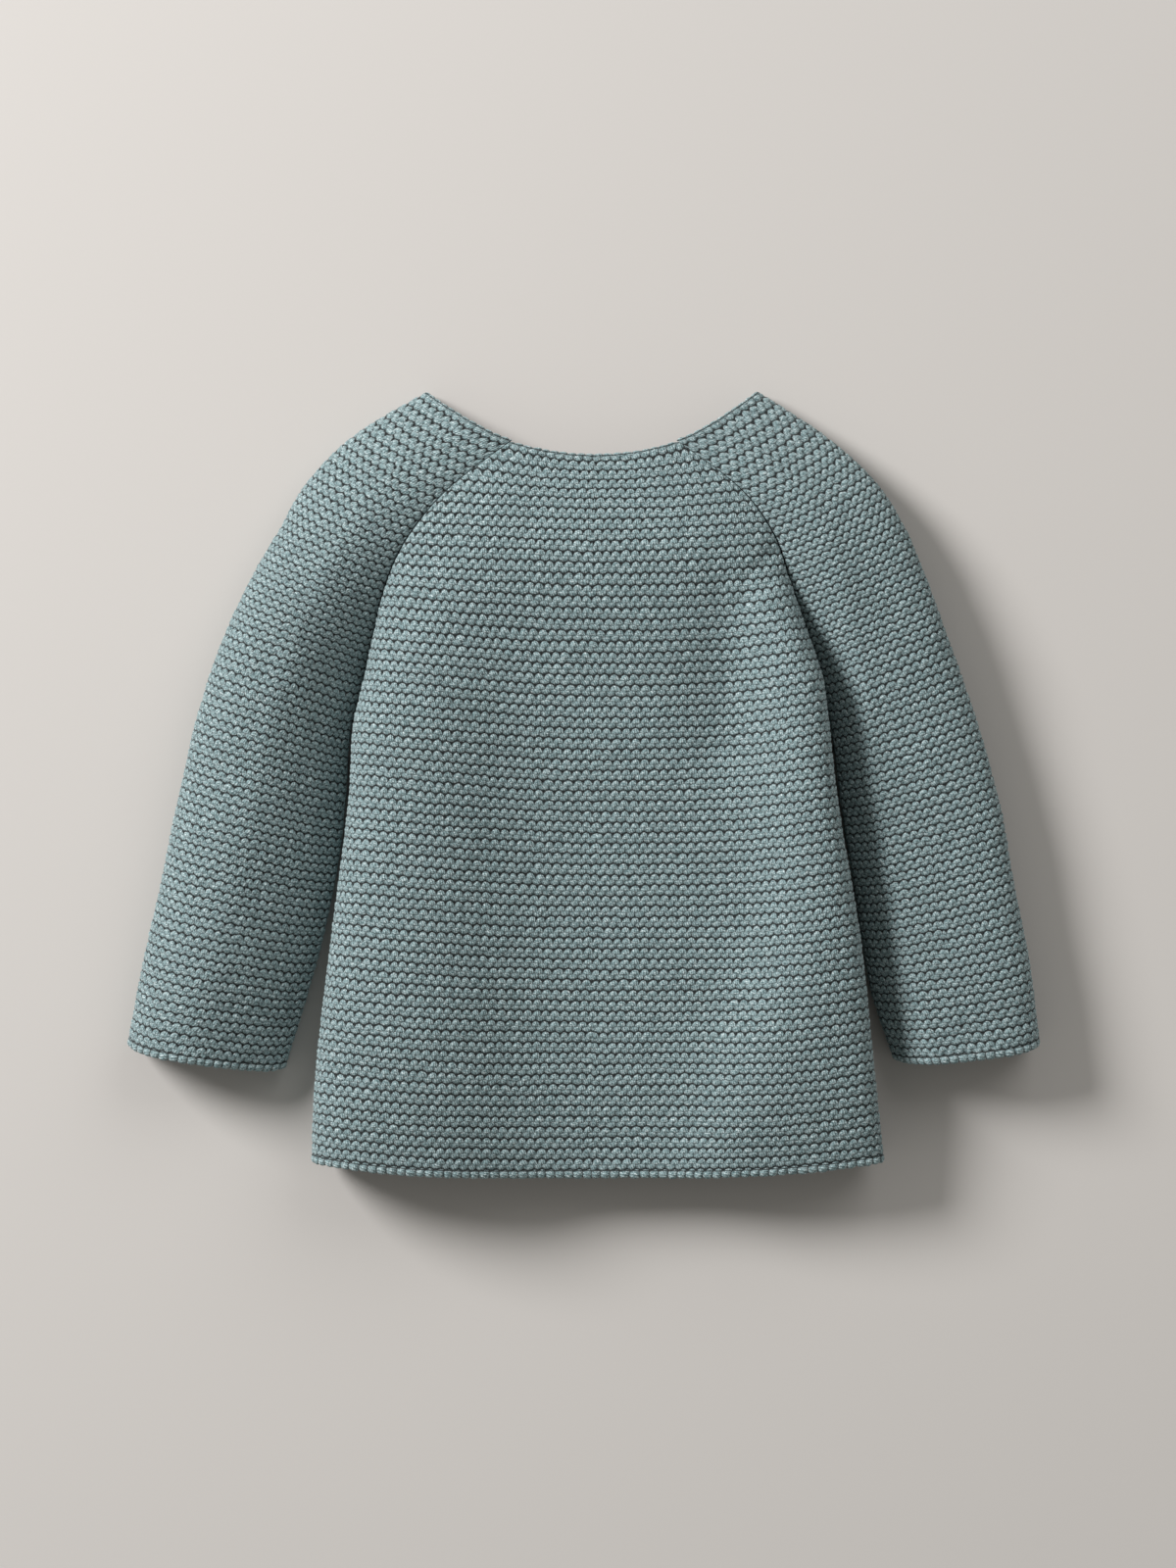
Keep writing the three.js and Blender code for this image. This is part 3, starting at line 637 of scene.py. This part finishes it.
def front_edge(side, y):
    """The front's edge: under the back's, but lower and further out towards the neck."""
    edge = back_edge(side, y)
    edge[..., 0] += side * FRONT_RAGLAN_OUT * yoke(y)
    edge[..., 1] -= FRONT_RAGLAN_DOWN * yoke(y)
    edge[..., 2] = front_edge_height(y, edge[..., 2])
    return edge


def turn_start(height, edge_height):
    """Angle at which a quarter of an ellipse, height high at its upright end, is edge_height high."""
    return np.arcsin(1 - np.minimum(1, edge_height / height))


def front_rows(side, y, columns):
    """The front's rows: down a quarter of an ellipse from the side seam to the surface, level to the
    overlap, and for the right front up a smooth step on to the left one."""
    t = np.linspace(0, 1, PATH_STEPS // 2 + 1)[None, :]
    edge = front_edge(side, y)
    edge_x = edge[:, :1]
    middle = ((read(BODY, "right", y) - read(BODY, "left", y)) / 2)[:, None]
    step_x = middle + side * (OVERLAP / 2 + STEP_START)
    top_x = middle + side * (OVERLAP / 2 + STEP_END)
    end_x = middle - side * OVERLAP / 2
    lift = WALL + SEAM_GAP if side == RIGHT else 0
    side_height = read(BODY, "seam", np.minimum(y, UNDERARM_Y))
    first = turn_start(side_height, edge[:, 2])[:, None]
    angle = first + (np.pi / 2 - first) * t
    round_x = edge_x - side * SIDE_TURN * (np.cos(first) - np.cos(angle))
    flat_x = round_x[:, -1:]
    stretches = ((flat_x, step_x), (step_x, top_x), (top_x, end_x))
    x = np.concatenate([round_x] + [begin + (finish - begin) * t for begin, finish in stretches], axis=1)
    round_z = side_height[:, None] * (1 - np.sin(angle))
    flat = np.zeros_like(angle)
    z = np.concatenate([round_z, flat, flat + lift * t * t * (3 - 2 * t), flat + lift], axis=1)
    share = (x - edge_x) / (end_x - edge_x)
    neck_drop = (FRONT_NECK_DROP * yoke(y) ** 2)[:, None]
    return spread(np.stack([x, edge[:, 1:2] - neck_drop * (1 - (1 - share) ** 2), z], axis=-1), columns)


for side, side_name in ((LEFT, "left"), (RIGHT, "right")):
    grid, along = front_rows(side, rows, FRONT_COLUMNS)
    ridge = (grid[..., 1] - HEM_Y) * BODY_RIDGES / (NECK_Y - HEM_Y)
    stitch = (along[:, -1:] - along) / STITCH
    front = knit(f"front_{side_name}_panel", grid, stitch, ridge, along, side)
    lay(front, f"front_{side_name}")


# The sleeves
# One tube of the same knitting on each side, softly filled out, sewn along the raglan seams and under
# the arm. Its rows rise from the body to the outer fold.

# Both sleeves from the cuff up: the height of the outer fold and of the inner seam.
SLEEVE = {
    "y": (-111.7, -80.2, -53.6, -27, -0.4, 22.4, 41.4, 60.4, 79.4, 96.1, 114, 134.0),
    "fold": (12, 12.5, 13, 13, 13, 13, 13, 12.5, 11.5, 10, 8, 5),
    "inner": (11, 11, 11.5, 12, 12.5, 13, 13, 18, 22.5, 25, 24, 18.5),
}
# Each sleeve from the cuff up: how far it lies clear of the body, how far across and up the outer fold
# lies from the inner seam, the height of its crest, and where across the crest is, from 0 to 1.
SLEEVE_REACH = {
    LEFT: {
        "y": SLEEVE["y"],
        "clear": (12.4, 6.5, 2.8, 1.4, 1.6, 1.1, 0, 0, 0, 0, 0, 0),
        "across": (61.2, 64.2, 64.6, 63.8, 60.2, 55.1, 52.8, 47.7, 42.2, 39.6, 36.5, 33.3),
        "rise": (9.1, 11.4, 14.1, 16, 17.6, 19, 20, 20.1, 19.4, 21.4, 21.8, 19.2),
        "top": (30, 31, 31.5, 32, 32.5, 33, 33, 32.5, 31, 28, 23.5, 17),
        "crest": (0.64, 0.62, 0.6, 0.58, 0.56, 0.54, 0.53, 0.52, 0.5, 0.5, 0.5, 0.5),
    },
    RIGHT: {
        "y": SLEEVE["y"],
        "clear": (9.3, 2.3, 1.2, 1.6, 1.7, 1.2, 0, 0, 0, 0, 0, 0),
        "across": (55.8, 61.6, 60, 59.3, 55.9, 50.9, 47.5, 46.3, 44.1, 38.6, 33.5, 31.6),
        "rise": (5.6, 9.1, 13, 15.2, 16.8, 18.2, 19.2, 20.4, 21.6, 22, 20.8, 19.4),
        "top": (28, 27.5, 27, 26.5, 26.5, 27, 28, 29.5, 30, 28, 23.5, 17),
        "crest": (0.3, 0.29, 0.28, 0.28, 0.28, 0.3, 0.34, 0.38, 0.42, 0.46, 0.48, 0.5),
    },
}
CUFF_Y = {LEFT: -111.7, RIGHT: -108.3}
SLEEVE_SLOPE = 1.5  # power of the curve from the inner seam up to the crest
SLEEVE_ROUNDNESS = {LEFT: 2.1, RIGHT: 4}  # power of the curve from the crest over to the fold
NECK_SWEEP = 1.3  # power by which the neck edge sweeps up to the fold
SLEEVE_TURN = 9  # width of the round under the fold, and of the one under the inner seam
SLEEVE_BOW = 2.6  # how far the cuff's middle hangs below its ends
SLEEVE_CORNER = 5  # power of that bow: its ends turn up like corners
SLEEVE_RIDGES, YOKE_RIDGES = 44, 31
SLEEVE_COLUMNS = 300  # mesh columns, a multiple of INNER_STEP
SEAM_STEP = 1  # along an edge, over which its direction is measured


def clear_of(edge, side, y):
    """An edge moved away from the body, level, by the gap of a seam."""
    run = edge(side, y - SEAM_STEP) - edge(side, y + SEAM_STEP)
    away = np.stack([side * np.abs(run[:, 1]), -side * run[:, 0] * np.sign(run[:, 1]), 0 * y], axis=-1)
    return edge(side, y) + away / np.linalg.norm(away, axis=1, keepdims=True) * SEAM_GAP


def sleeve_rows(side, y, columns):
    """A sleeve's rows: up a slope from the inner seam to the crest and round over to the outer fold,
    then back underneath, down a quarter of an ellipse, level on the surface, and up to the front's
    edge. Also the distance along each row to the middle of its upper side."""
    reach = SLEEVE_REACH[side]
    in_yoke = y > UNDERARM_Y
    start, end = clear_of(back_edge, side, y), clear_of(front_edge, side, y)
    away = side * read(reach, "clear", y)
    start[:, 0] += away
    end[:, 0] += away
    start[:, 2] = np.where(in_yoke, start[:, 2], read(SLEEVE, "inner", y))
    end[:, 2] = front_edge_height(y, start[:, 2])
    fold_x = start[:, 0] + side * read(reach, "across", y)
    fold = np.stack([fold_x, start[:, 1] + read(reach, "rise", y), read(SLEEVE, "fold", y)], axis=-1)

    across = -np.cos(np.pi * np.linspace(0, 1, PATH_STEPS + 1))[None, :]
    share = (1 + across) / 2
    crown = start[:, None] + (fold - start)[:, None] * share[..., None]
    crest, roundness = read(reach, "crest", y)[:, None], SLEEVE_ROUNDNESS[side]
    inside = share < crest
    down = np.where(inside, 1 - share / crest, (share - crest) / (1 - crest))
    outer_arch = np.clip(1 - down ** roundness, 0, 1) ** (1 / roundness)
    bow = (SLEEVE_BOW * (NECK_Y - y) / (NECK_Y - CUFF_Y[side]))[:, None]
    at_crest = start[:, 2] + (fold[:, 2] - start[:, 2]) * crest[:, 0]
    rise = (read(reach, "top", y) - at_crest)[:, None]
    crown[..., 1] -= bow * (1 - np.abs(across) ** SLEEVE_CORNER)
    sweep = 1 + (NECK_SWEEP - 1) * yoke(y)[:, None]
    crown[..., 1] -= (fold - start)[:, 1:2] * (share - share ** sweep)
    crown[..., 2] += rise * np.where(inside, 1 - down ** SLEEVE_SLOPE, outer_arch)

    level = end - fold
    level[:, 2] = 0
    width = np.linalg.norm(level, axis=1)[:, None]
    level /= width
    fold_turn = SLEEVE_TURN * np.minimum(1, fold[:, 2:] / read(SLEEVE, "fold", UNDERARM_Y))
    inner_height = np.where(in_yoke, read(SLEEVE, "inner", UNDERARM_Y), end[:, 2])[:, None]
    first = turn_start(inner_height, end[:, 2:])
    t = np.linspace(0, 1, PATH_STEPS // 2 + 1)[None, 1:]
    outer_angle = np.pi / 2 * t
    inner_angle = np.pi / 2 + (first - np.pi / 2) * t
    distance = np.concatenate([
        fold_turn * (1 - np.cos(outer_angle)),
        width - SLEEVE_TURN * (np.cos(first) - np.cos(inner_angle)),
    ], axis=1)
    height = np.concatenate([
        fold[:, 2:] * (1 - np.sin(outer_angle)), inner_height * (1 - np.sin(inner_angle)),
    ], axis=1)
    under = fold[:, None] + level[:, None] * distance[..., None]
    under[..., 2] = height
    to_middle = np.linalg.norm(np.diff(crown[:, :PATH_STEPS // 2 + 1], axis=1), axis=2).sum(axis=1)
    points, along = spread(np.concatenate([crown, under], axis=1), columns)
    return points, along, to_middle[:, None]


for side, side_name in ((LEFT, "left"), (RIGHT, "right")):
    ridges = SLEEVE_RIDGES + YOKE_RIDGES
    level = np.linspace(ridges, 0, ridges * ROWS_A_RIDGE + 1)
    row_y = np.interp(level, (0, SLEEVE_RIDGES, ridges), (CUFF_Y[side], UNDERARM_Y, NECK_Y))
    grid, along, to_middle = sleeve_rows(side, row_y, SLEEVE_COLUMNS)
    ridge = np.broadcast_to(level[:, None], along.shape)
    stitch = (along - to_middle) / STITCH
    seam_distance = np.minimum(along, along[:, -1:] - along)
    sleeve = knit(f"sleeve_{side_name}_panel", grid, stitch, ridge, seam_distance, side)
    lay(sleeve, f"sleeve_{side_name}")


# The surface and the light
# The cardigan lies on a pale matt table. A large soft lamp stands at its upper left, a weaker one at
# its upper right, and the room fills the shadows.
CAMERA_HEIGHT = 2.2
SEEN_WIDTH = 0.456  # of the table, across the picture
CARDIGAN_HEIGHT = 0.018  # at which the picture is that wide
SEEN_MIDDLE = np.array([1.5, -0.4, 0]) * MM + place
SENSOR = 36
TABLE_REACH = 3  # metres from the middle to each side
TABLE_SURFACE = {
    "Base Color": (0.49, 0.473, 0.452, 1),
    "Roughness": 0.8,
    "Specular IOR Level": 0.2,
}
LAMPS = {
    "name": ("window", "second_window"),
    "around": (148, 55),  # its direction round the table and its height over it, in degrees
    "above": (32, 38),
    "distance": (2.5, 2.5),
    "size": (1.0, 2.0),
    "power": (94, 19),
}
LAMP_COLOUR = (1, 0.985, 0.985)
ROOM_LIGHT = 0.31
ROOM_COLOUR = (1, 0.985, 0.935, 1)

table_corners = [(x * TABLE_REACH, y * TABLE_REACH, 0) for x, y in ((-1, -1), (1, -1), (1, 1), (-1, 1))]
table_mesh = bpy.data.meshes.new("table_top")
table_mesh.from_pydata(table_corners, [], [(0, 1, 2, 3)])
table = bpy.data.objects.new("table_top", table_mesh)
bpy.context.collection.objects.link(table)
table_paint = bpy.data.materials.new("pale_table")
table_paint.use_nodes = True
table_shader = table_paint.node_tree.nodes["Principled BSDF"]
for label, value in TABLE_SURFACE.items():
    table_shader.inputs[label].default_value = value
table.data.materials.append(table_paint)

for name, around, above, distance, size, power in zip(*LAMPS.values()):
    lamp = bpy.data.lights.new(name, "AREA")
    lamp.shape = "DISK"
    lamp.size = size
    lamp.energy = power
    lamp.color = LAMP_COLOUR
    lamp_object = bpy.data.objects.new(name, lamp)
    around, above = np.radians((around, above))
    toward = np.array([np.cos(around) * np.cos(above), np.sin(around) * np.cos(above), np.sin(above)])
    lamp_object.location = SEEN_MIDDLE + toward * distance
    lamp_object.rotation_euler = (np.pi / 2 - above, 0, around + np.pi / 2)
    bpy.context.collection.objects.link(lamp_object)

world = bpy.data.worlds.new("room")
world.use_nodes = True
world.node_tree.nodes["Background"].inputs["Color"].default_value = ROOM_COLOUR
world.node_tree.nodes["Background"].inputs["Strength"].default_value = ROOM_LIGHT
bpy.context.scene.world = world
bpy.context.scene.view_settings.view_transform = "Standard"

camera = bpy.data.cameras.new("camera")
camera.sensor_fit = "HORIZONTAL"
camera.sensor_width = SENSOR
camera.lens = SENSOR * CAMERA_HEIGHT / SEEN_WIDTH
camera_object = bpy.data.objects.new("camera", camera)
camera_object.location = SEEN_MIDDLE + np.array([0, 0, CARDIGAN_HEIGHT + CAMERA_HEIGHT])
bpy.context.collection.objects.link(camera_object)
bpy.context.scene.camera = camera_object
